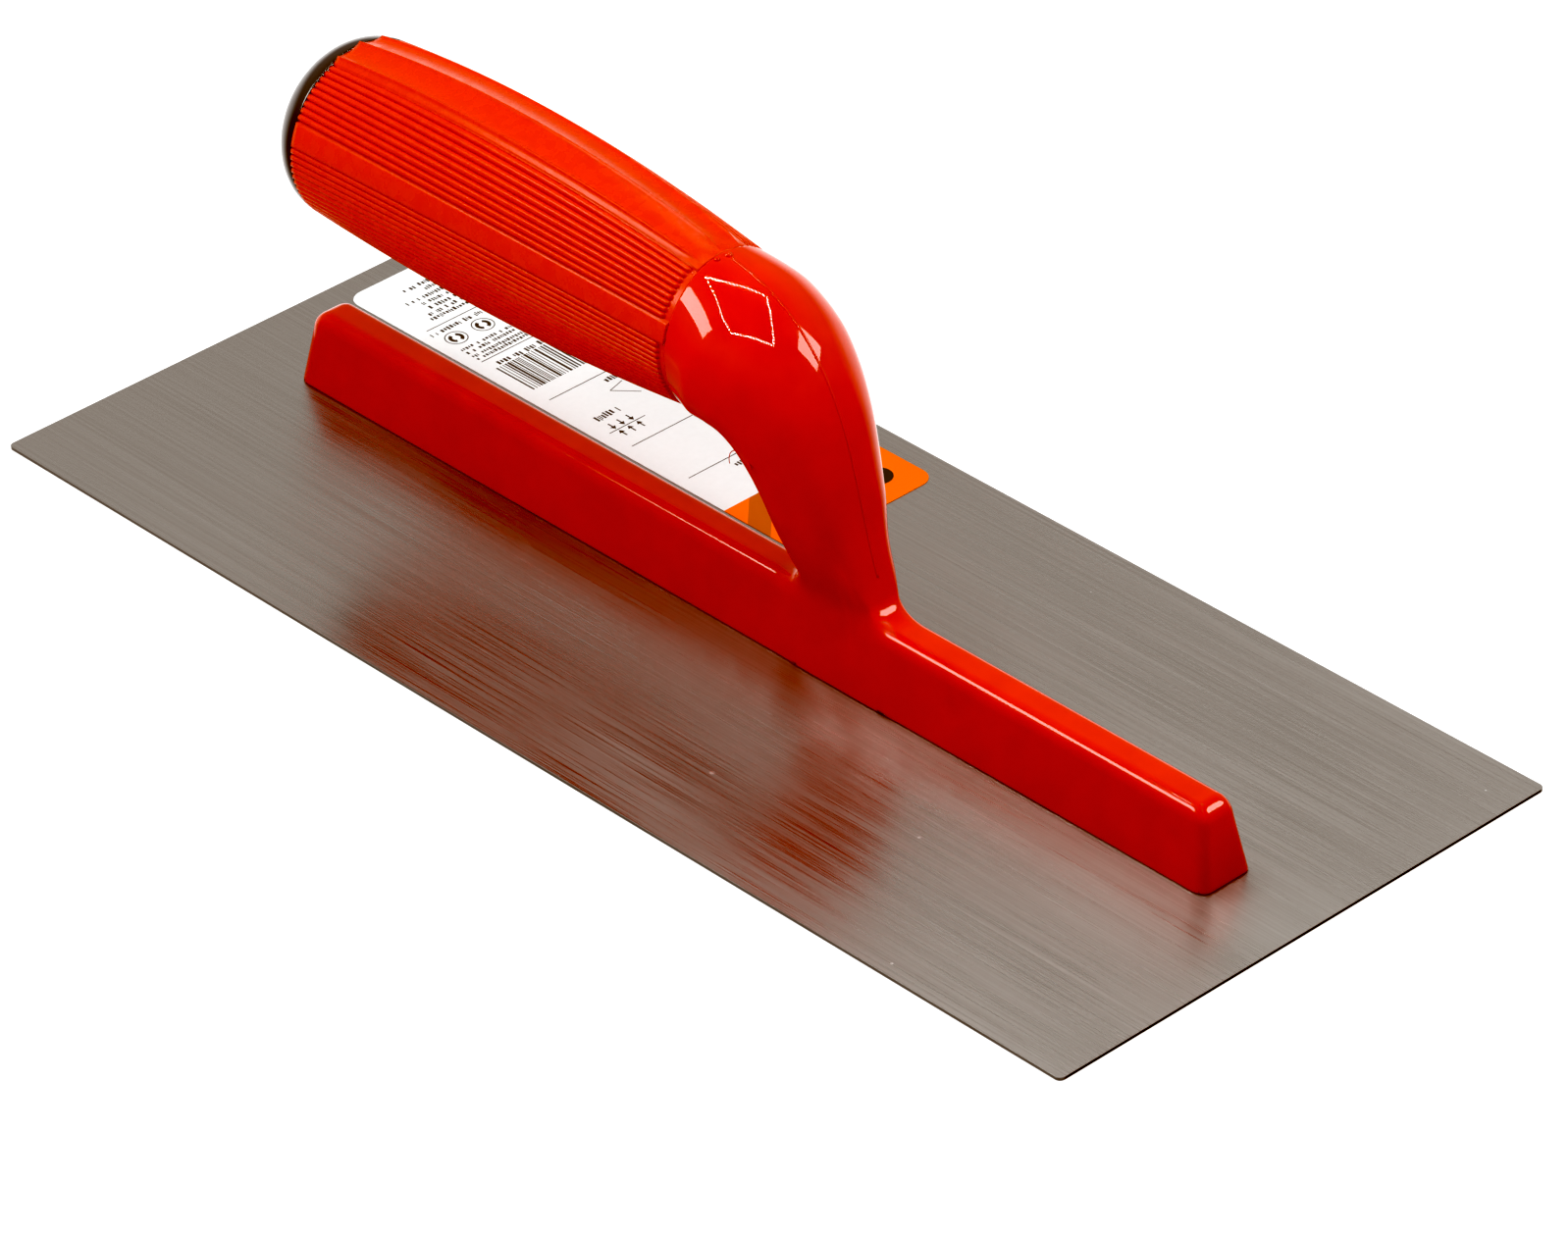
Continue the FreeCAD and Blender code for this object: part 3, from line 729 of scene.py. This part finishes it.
def sleeve_point(x, angle):
    """Point of the ribbed skin at x and that angle round it."""
    centre, side, height = sleeve_section(x)
    turn = min(angle, 2 * math.pi - angle)
    radius = math.hypot(side * math.sin(angle), height * math.cos(angle))
    out = crest_relief(turn, x) - rib_relief(turn, x, radius)
    flat = math.hypot(math.sin(angle) / side, math.cos(angle) / height)
    reach = 1.0 / flat + out
    return (x, -reach * math.sin(angle), centre + reach * math.cos(angle))


def sleeve_stations():
    """Places along the sleeve, closer together where the ribs end."""
    plain = [SLEEVE_HEEL + SLEEVE_LENGTH * ALONG_SHARE * k / ALONG for k in range(ALONG + 1)]
    rest = SLEEVE_TOE - plain[-1]
    return plain + [plain[-1] + rest * (k + 1) / FINE_STATIONS for k in range(FINE_STATIONS)]


def tube_faces(rings, count, flip=False):
    """Quads that join the rings of a tube along X, facing out, or the other way with flip."""
    faces = []
    for ring in range(rings - 1):
        for k in range(count):
            base, after = ring * count, (k + 1) % count
            quad = (base + k, base + count + k, base + count + after, base + after)
            faces.append(tuple(reversed(quad)) if flip else quad)
    return faces


stations = sleeve_stations()
turns_round = sleeve_turns()
AROUND = len(turns_round)
sleeve_points = [sleeve_point(x, angle) for x in stations for angle in turns_round]
outer_rings = len(stations)
for x in (SLEEVE_TOE, SLEEVE_HEEL):
    centre, side, height = sleeve_section(x)
    for angle in turns_round:
        reach = 1.0 / math.hypot(math.sin(angle) / side, math.cos(angle) / height) - SLEEVE_WALL
        sleeve_points.append((x, -reach * math.sin(angle), centre + reach * math.cos(angle)))
sleeve_faces = tube_faces(outer_rings + 2, AROUND)
last_ring = (outer_rings + 1) * AROUND
for k in range(AROUND):
    after = (k + 1) % AROUND
    sleeve_faces.append((last_ring + k, k, after, last_ring + after))
sleeve = piece_from("ribbed_sleeve", sleeve_points, sleeve_faces)

SLEEVE_DEEP = (0.55, 0.040, 0.0006)
SLEEVE_BRIGHT = (0.57, 0.044, 0.0008)

satin_red, sleeve_shader = new_material("satin_red_elastomer")
satin = satin_red.node_tree
satin_skin = place_group(satin, moulded_skin, {"Peel": 2400.0, "Wave": 400.0})
satin_dust = place_group(satin, dust, {"Scale": 300.0, "Amount": 0.008})
satin_colour = blend_colours(satin, remap(satin, satin_skin.outputs["Gloss"], 0.35, 0.65, 0.0, 1.0),
                             SLEEVE_DEEP, SLEEVE_BRIGHT)
satin_colour = blend_colours(satin, satin_dust.outputs["Mask"], satin_colour, RED_DUST)
satin_wave = bump(satin, satin_skin.outputs["Wave"], 0.004 * MM)
feed_shader(satin, sleeve_shader, satin_colour,
            remap(satin, satin_skin.outputs["Gloss"], 0.35, 0.65, 0.22, 0.32),
            bump(satin, satin_skin.outputs["Peel"], 0.001 * MM, 1.0, satin_wave))
sleeve_shader.inputs["Specular IOR Level"].default_value = 0.3
sleeve.data.materials.append(satin_red)
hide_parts("grip_sleeve")
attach(sleeve, "root")

# ---- End cap --------------------------------------------------------------------------------
# A black domed cap, pressed into the hollow core. Its rim sits just inside the sleeve's ribbed
# end, so a thin dark seam runs round it, and its skin is polished.

cap_low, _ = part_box("end_cap")
CAP_SEAM = 0.35 * MM
CAP_RIM = 0.5 * MM
CAP_RINGS = 28
CAP_AROUND = 128
PLUG_LENGTH, PLUG_TIP, PLUG_SHOULDER = 9.0 * MM, 11.2 * MM, 12.2 * MM
PLUG_ROOT, PLUG_ROOT_RADIUS = 0.3 * MM, 12.4 * MM
cap_centre, cap_side, _ = sleeve_section(SLEEVE_HEEL)
cap_radius = cap_side - CAP_SEAM
cap_dome = SLEEVE_HEEL - cap_low.x - CAP_RIM
cap_points = []
cap_profile = [(PLUG_LENGTH, PLUG_TIP), (PLUG_LENGTH, PLUG_SHOULDER), (PLUG_ROOT, PLUG_ROOT_RADIUS),
               (0.0, cap_radius), (-CAP_RIM, cap_radius)]
for k in range(1, CAP_RINGS):
    turn = math.pi / 2 * k / CAP_RINGS
    cap_profile.append((-CAP_RIM - cap_dome * math.sin(turn), cap_radius * math.cos(turn)))
for offset, radius in cap_profile:
    for k in range(CAP_AROUND):
        angle = 2 * math.pi * k / CAP_AROUND
        cap_points.append((SLEEVE_HEEL + offset, -radius * math.sin(angle),
                           cap_centre + radius * math.cos(angle)))
cap_faces = tube_faces(len(cap_profile), CAP_AROUND, flip=True)
pole = len(cap_points)
cap_points.append((SLEEVE_HEEL - CAP_RIM - cap_dome, 0.0, cap_centre))
last_ring = (len(cap_profile) - 1) * CAP_AROUND
cap_faces += [(last_ring + k, last_ring + (k + 1) % CAP_AROUND, pole) for k in range(CAP_AROUND)]
bore_pole = len(cap_points)
cap_points.append((SLEEVE_HEEL + PLUG_LENGTH, 0.0, cap_centre))
cap_faces += [((k + 1) % CAP_AROUND, k, bore_pole) for k in range(CAP_AROUND)]
cap = piece_from("end_cap_dome", cap_points, cap_faces)

CAP_BLACK = (0.010, 0.009, 0.010)
CAP_DUST = (0.5, 0.48, 0.48)

gloss_black, black_shader = new_material("gloss_black_plastic")
black = gloss_black.node_tree
black_skin = place_group(black, moulded_skin, {"Peel": 2400.0, "Wave": 140.0})
black_dust = place_group(black, dust, {"Scale": 320.0, "Amount": 0.02})
feed_shader(black, black_shader, blend_colours(black, black_dust.outputs["Mask"], CAP_BLACK, CAP_DUST),
            remap(black, black_skin.outputs["Gloss"], 0.35, 0.65, 0.12, 0.22),
            bump(black, black_skin.outputs["Wave"], 0.03 * MM))
black_shader.inputs["Specular IOR Level"].default_value = 1.0
cap.data.materials.append(gloss_black)
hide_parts("end_cap")
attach(cap, "root")

# ---- Label ----------------------------------------------------------------------------------
# A printed film stuck to the blade beside the bar: white, with an orange panel at its toe end. A brown
# band across that panel, lying along the line of sight behind the neck, is painted shadow.

label_low, label_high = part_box("label")
LABEL_CORNER = 3.5 * MM
LABEL_EDGE = 0.03 * MM
ORANGE_START = label_high.x - 19.7 * MM
# Where the painted shadow of the neck lies across the orange panel: between these values of x + y.
SHADOW_BAND_FROM, SHADOW_BAND_TO = -1.6 * MM, 4.6 * MM
FILM_WHITE_DULL, FILM_WHITE = (0.77, 0.81, 0.81), (0.82, 0.86, 0.86)
FILM_ORANGE, FILM_PAINTED_SHADOW = (0.90, 0.185, 0.003), (0.50, 0.13, 0.02)

printed_film, film_shader = new_material("printed_film")
film = printed_film.node_tree
film_place = add_node(film, "ShaderNodeTexCoord")
film_axes = add_node(film, "ShaderNodeSeparateXYZ")
film.links.new(film_place.outputs["Object"], film_axes.inputs["Vector"])
film_mottle = object_noise(film, (1.0, 1.0, 1.0), 900.0, 4.0)
film_orange = combine(film, "GREATER_THAN", film_axes.outputs["X"], ORANGE_START)
film_diagonal = combine(film, "ADD", film_axes.outputs["X"], film_axes.outputs["Y"])
# The brown band is painted shadow of the neck, laid over the orange panel's colour.
film_painted_shadow = combine(film, "MULTIPLY", combine(film, "GREATER_THAN", film_diagonal, SHADOW_BAND_FROM),
                    combine(film, "LESS_THAN", film_diagonal, SHADOW_BAND_TO))
film_white = blend_colours(film, film_mottle, FILM_WHITE_DULL, FILM_WHITE)
film_panel_and_shadow = blend_colours(film, film_painted_shadow, FILM_ORANGE, FILM_PAINTED_SHADOW)
feed_shader(film, film_shader, blend_colours(film, film_orange, film_white, film_panel_and_shadow),
            remap(film, film_mottle, 0.3, 0.7, 0.35, 0.45), bump(film, film_mottle, 0.004 * MM))

label = eased_plate("label_film", label_low, label_high, LABEL_CORNER, LABEL_EDGE, 8)
label.data.materials.append(printed_film)
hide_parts("label")
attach(label, "root")

# The black print: rules between the fields, rows of small strokes where the small print is, a
# field of bars, two round signs, and arrows closing on a line. It carries no words.

INK_THICK = 0.012 * MM
LABEL_START = label_low.x / MM
PRINT_NEAR = label_low.y / MM + 3.0
PRINT_FAR = label_high.y / MM - 3.0
print_points, print_faces = [], []


def ink(outline):
    """One flat printed shape with the given outline, anticlockwise from above, in millimetres."""
    base, count = len(print_points), len(outline)
    for z in (label_high.z, label_high.z + INK_THICK):
        print_points.extend((x * MM, y * MM, z) for x, y in outline)
    print_faces.append(tuple(reversed(range(base, base + count))))
    print_faces.append(tuple(range(base + count, base + 2 * count)))
    for k in range(count):
        after = (k + 1) % count
        print_faces.append((base + k, base + after, base + count + after, base + count + k))


def ink_bar(x, y, width, length):
    """A printed rectangle centred on x, y."""
    ink([(x - width / 2, y - length / 2), (x + width / 2, y - length / 2),
         (x + width / 2, y + length / 2), (x - width / 2, y + length / 2)])


def ink_stroke(start, end, width):
    """A printed line from start to end."""
    first, last = Vector(start), Vector(end)
    along = (last - first).normalized()
    side = Vector((-along.y, along.x)) * width / 2
    ink([tuple(first - side), tuple(last - side), tuple(last + side), tuple(first + side)])


def ink_arc(x, y, radius, width, start, end, steps=14):
    """A printed arc between two angles in degrees."""
    for k in range(steps):
        first = math.radians(start + (end - start) * k / steps)
        last = math.radians(start + (end - start) * (k + 1) / steps)
        inner, outer = radius - width / 2, radius + width / 2
        ink([(x + inner * math.cos(first), y + inner * math.sin(first)),
             (x + outer * math.cos(first), y + outer * math.sin(first)),
             (x + outer * math.cos(last), y + outer * math.sin(last)),
             (x + inner * math.cos(last), y + inner * math.sin(last))])


def ink_row(x, start, end, width, seed):
    """A row of short strokes along Y, like a line of small print."""
    spread = np.random.default_rng(seed)
    y = start
    while y < end:
        stroke = spread.uniform(0.25, 0.8)
        lean = spread.uniform(-0.25, 0.25)
        ink_bar(x + lean * width * 0.5, y + stroke / 2, width * spread.uniform(0.65, 1.1), stroke * 0.7)
        y += stroke + (0.9 if spread.uniform() < 0.16 else 0.12)


for offset in (20.3, 36.2, 55.6, 78.8, 94.5):
    ink_bar(LABEL_START + offset, (PRINT_NEAR + PRINT_FAR) / 2, 0.2, PRINT_FAR - PRINT_NEAR)
SMALL_PRINT = ((6.1, 28.6), (8.1, 32.3), (10.2, 25.9), (12.2, 28.2), (14.1, 28.2), (16.0, 26.4),
               (17.7, 25.6))
for row, (offset, near) in enumerate(SMALL_PRINT):
    ink_row(LABEL_START + offset, near, PRINT_FAR, 1.1, row)
ink_row(LABEL_START + 22.3, 21.6, PRINT_FAR, 1.25, 11)
for row, offset in enumerate((30.4, 31.9, 33.6, 34.9)):
    ink_row(LABEL_START + offset, PRINT_NEAR, PRINT_FAR, 0.9, 20 + row)
ink_row(LABEL_START + 38.9, 24.0, PRINT_FAR, 1.4, 31)
bar_spread = np.random.default_rng(5)
bar_y = 22.6
while bar_y < 44.0:
    bar_width = float(bar_spread.choice([0.18, 0.18, 0.36, 0.54]))
    ink_bar(LABEL_START + 45.3, bar_y + bar_width / 2, 10.8, bar_width)
    bar_y += bar_width + float(bar_spread.choice([0.22, 0.36, 0.54]))
for y in (24.7, 31.5):
    ink_arc(LABEL_START + 26.1, y, 2.25, 0.2, 0, 360, 28)
    ink_arc(LABEL_START + 26.1, y, 1.2, 0.75, 20, 150)
    ink_arc(LABEL_START + 26.1, y, 1.2, 0.75, 200, 330)
ink_stroke((LABEL_START + 60.2, 36.6), (LABEL_START + 61.3, 32.6), 0.18)
ink_stroke((LABEL_START + 61.3, 32.6), (LABEL_START + 65.7, 36.6), 0.18)
ink_row(LABEL_START + 58.0, 34.2, 37.4, 1.6, 41)
ink_row(LABEL_START + 67.1, 23.6, 29.2, 1.7, 42)
arrow_line = LABEL_START + 72.5
ink_bar(arrow_line, 26.8, 0.2, 9.0)
for y in (24.3, 26.5, 28.8):
    for way in (-1, 1):
        ink_stroke((arrow_line + way * 2.7, y), (arrow_line + way * 1.2, y), 0.3)
        tip = [(arrow_line + way * 0.35, y), (arrow_line + way * 1.4, y + 0.65),
               (arrow_line + way * 1.4, y - 0.65)]
        ink(tip if way < 0 else tip[::-1])
ink_row(LABEL_START + 97.5, 31.4, PRINT_FAR, 1.3, 43)
ink_arc(LABEL_START + 119.0, 47.5, 1.5, 3.0, 0, 360, 24)

black_ink, ink_shader = new_material("black_ink")
ink_tree = black_ink.node_tree
ink_mottle = object_noise(ink_tree, (1.0, 1.0, 1.0), 2500.0, 2.0)
ink_tree.links.new(blend_colours(ink_tree, ink_mottle, (0.012, 0.012, 0.012), (0.035, 0.034, 0.033)),
                   ink_shader.inputs["Base Color"])
ink_tree.links.new(remap(ink_tree, ink_mottle, 0.3, 0.7, 0.35, 0.5), ink_shader.inputs["Roughness"])
label_print = piece_from("label_print", print_points, print_faces, smooth=False)
label_print.data.materials.append(black_ink)
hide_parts("label")
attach(label_print, "root")

# ---- Studio ---------------------------------------------------------------------------------
# A light box seen from its open front: white floor and back wall, a bright panel in each side
# wall, and a square ring of small lamps in the roof. The front, behind the camera, is dimmer.

CAMERA_PLACE = Vector((883.41, -798.81, 792.44)) * MM
CAMERA_AIM = Vector((6.58, 2.61, 0.7)) * MM
CAMERA_ROLL = math.radians(1.567)
CAMERA_LENS, CAMERA_SENSOR = 180.84, 36.0
BLACK_LEVEL = (0.006, 0.038, 0.058)
CAMERA_TURN = math.atan2(CAMERA_PLACE.y - CAMERA_AIM.y, CAMERA_PLACE.x - CAMERA_AIM.x)
toward_camera = Vector((math.cos(CAMERA_TURN), math.sin(CAMERA_TURN), 0.0))
toward_right = Vector((-toward_camera.y, toward_camera.x, 0.0))

FLOOR_FRONT, FLOOR_BACK, FLOOR_SIDE, FLOOR_Z = 0.34, 2.6, 2.2, -0.0003
FLOOR_GREY, FLOOR_GLOW = 0.35, 0.65
floor_corners = [toward_camera * ahead + toward_right * aside + Vector((0.0, 0.0, FLOOR_Z))
                 for ahead, aside in ((FLOOR_FRONT, -FLOOR_SIDE), (FLOOR_FRONT, FLOOR_SIDE),
                                      (-FLOOR_BACK, FLOOR_SIDE), (-FLOOR_BACK, -FLOOR_SIDE))]
floor = piece_from("studio_floor", floor_corners, [(0, 1, 2, 3)], smooth=False)
floor_white, floor_shader = new_material("floor_white")
floor_shader.inputs["Base Color"].default_value = (FLOOR_GREY, FLOOR_GREY, FLOOR_GREY, 1.0)
floor_shader.inputs["Roughness"].default_value = 0.9
floor_shader.inputs["Specular IOR Level"].default_value = 0.0
floor_shader.inputs["Emission Color"].default_value = (1.0, 1.0, 1.0, 1.0)
floor_shader.inputs["Emission Strength"].default_value = FLOOR_GLOW
floor.data.materials.append(floor_white)
floor.visible_glossy = False

world = bpy.data.worlds.new("light_box")
world.use_nodes = True
bpy.context.scene.world = world
walls = world.node_tree
wall_place = add_node(walls, "ShaderNodeTexCoord")
wall_axes = add_node(walls, "ShaderNodeSeparateXYZ")
walls.links.new(wall_place.outputs["Generated"], wall_axes.inputs["Vector"])
wall_behind = add_node(walls, "ShaderNodeVectorMath", {"operation": "DOT_PRODUCT"})
walls.links.new(wall_place.outputs["Generated"], wall_behind.inputs[0])
wall_behind.inputs[1].default_value = -toward_camera
wall_back = remap(walls, wall_behind.outputs["Value"], -0.4, 0.6, 0.75, 1.0)
wall_foot = remap(walls, wall_axes.outputs["Z"], 0.0, 0.40, 0.35, 1.0)
wall_roof = remap(walls, wall_axes.outputs["Z"], 0.62, 0.92, 1.0, 0.45)
wall_level = combine(walls, "MULTIPLY", combine(walls, "MULTIPLY", wall_foot, wall_roof), wall_back)
wall_level = combine(walls, "ADD", combine(walls, "MULTIPLY", wall_level, 0.46), 0.04)
wall_floor = combine(walls, "MULTIPLY", remap(walls, wall_behind.outputs["Value"], 0.30, 0.65, 0.0, 1.0),
                     remap(walls, wall_axes.outputs["Z"], 0.0, 0.25, 1.0, 0.0))
wall_level = combine(walls, "ADD", wall_level, wall_floor)
wall_path = add_node(walls, "ShaderNodeLightPath")
wall_seen = blend_colours(walls, wall_path.outputs["Is Camera Ray"], wall_level, (1.0, 1.0, 1.0))
walls.links.new(wall_seen, walls.nodes["Background"].inputs["Color"])


def lamp_panel(name, place, aim, width, length, power, mirrored):
    """A rectangular lamp, seen in polished surfaces or only lighting them."""
    light = bpy.data.lights.new(name, "AREA")
    light.shape = "RECTANGLE"
    light.size, light.size_y = width, length
    light.energy = power
    lamp = bpy.data.objects.new(name, light)
    lamp.location = place
    lamp.rotation_euler = (aim - place).to_track_quat("-Z", "Y").to_euler()
    lamp.visible_glossy = mirrored
    if mirrored:
        lamp.light_linking.receiver_collection = shaded_pieces
    bpy.context.scene.collection.objects.link(lamp)


# The side panels are masked from the blade, as its polish would only throw them back as haze.
shaded_pieces = bpy.data.collections.new("kept_from_panels")
shaded_pieces.objects.link(blade)
shaded_pieces.collection_objects[0].light_linking.link_state = "EXCLUDE"

box_middle = Vector((0.045, -0.030, 0.0))
WALL_AWAY = 0.75
for name, turn, climb, width, height, power in (("left_panel", -130.0, 42.0, 0.38, 0.22, 1.9),
                                                ("right_panel", 48.0, 41.0, 0.26, 0.22, 1.2)):
    turn, climb = math.radians(turn), math.radians(climb)
    away = Vector((math.cos(turn), math.sin(turn), math.tan(climb)))
    lamp_panel(name, box_middle + away.normalized() * WALL_AWAY, box_middle, width, height, power, True)

ROOF, ABOVE_RING = 0.52, 0.1
ROOF_SIDE, ROOF_POWER = 0.5, 2.0
roof_place = box_middle + Vector((0.0, 0.0, ROOF + ABOVE_RING))
lamp_panel("roof_panel", roof_place, box_middle, ROOF_SIDE, ROOF_SIDE, ROOF_POWER, False)
RING_HALF = 0.192
RING_SHIFT = 0.018
RING_LAMPS = 17
LAMP_HALF = 0.0058
RING_STRENGTH = 75.0
ring_points, ring_faces = [], []
for edge in range(4):
    ahead, aside = ((toward_camera, toward_right), (toward_right, -toward_camera),
                    (-toward_camera, -toward_right), (-toward_right, toward_camera))[edge]
    for k in range(RING_LAMPS):
        middle = (box_middle - toward_right * RING_SHIFT + ahead * RING_HALF
                  + aside * RING_HALF * (2 * k / RING_LAMPS - 1) + Vector((0.0, 0.0, ROOF)))
        base = len(ring_points)
        for a, b in ((-1, -1), (1, -1), (1, 1), (-1, 1)):
            ring_points.append(middle + (ahead * a + aside * b * 0.5) * LAMP_HALF)
        ring_faces.append((base, base + 1, base + 2, base + 3))
ring = piece_from("roof_ring", ring_points, ring_faces, smooth=False)
ring_light, ring_shader = new_material("ring_light")
ring_shader.inputs["Base Color"].default_value = (0.0, 0.0, 0.0, 1.0)
ring_shader.inputs["Emission Color"].default_value = (1.0, 1.0, 1.0, 1.0)
ring_shader.inputs["Emission Strength"].default_value = RING_STRENGTH
ring.data.materials.append(ring_light)
ring.visible_diffuse = False
ring.visible_camera = False

camera_data = bpy.data.cameras.new("light_box_camera")
camera_data.lens = CAMERA_LENS
camera_data.sensor_width = CAMERA_SENSOR
camera = bpy.data.objects.new("light_box_camera", camera_data)
bpy.context.scene.collection.objects.link(camera)
look = (CAMERA_AIM - CAMERA_PLACE).to_track_quat("-Z", "Y").to_matrix()
rolled = look @ Matrix.Rotation(-CAMERA_ROLL, 3, "Z")
camera.matrix_world = Matrix.Translation(CAMERA_PLACE) @ rolled.to_4x4()
bpy.context.scene.camera = camera
view = bpy.context.scene.view_settings
view.view_transform = "Standard"
view.look = "High Contrast"
view.use_curve_mapping = True
view.curve_mapping.black_level = BLACK_LEVEL
view.curve_mapping.update()
bpy.context.scene.cycles.use_denoising = True
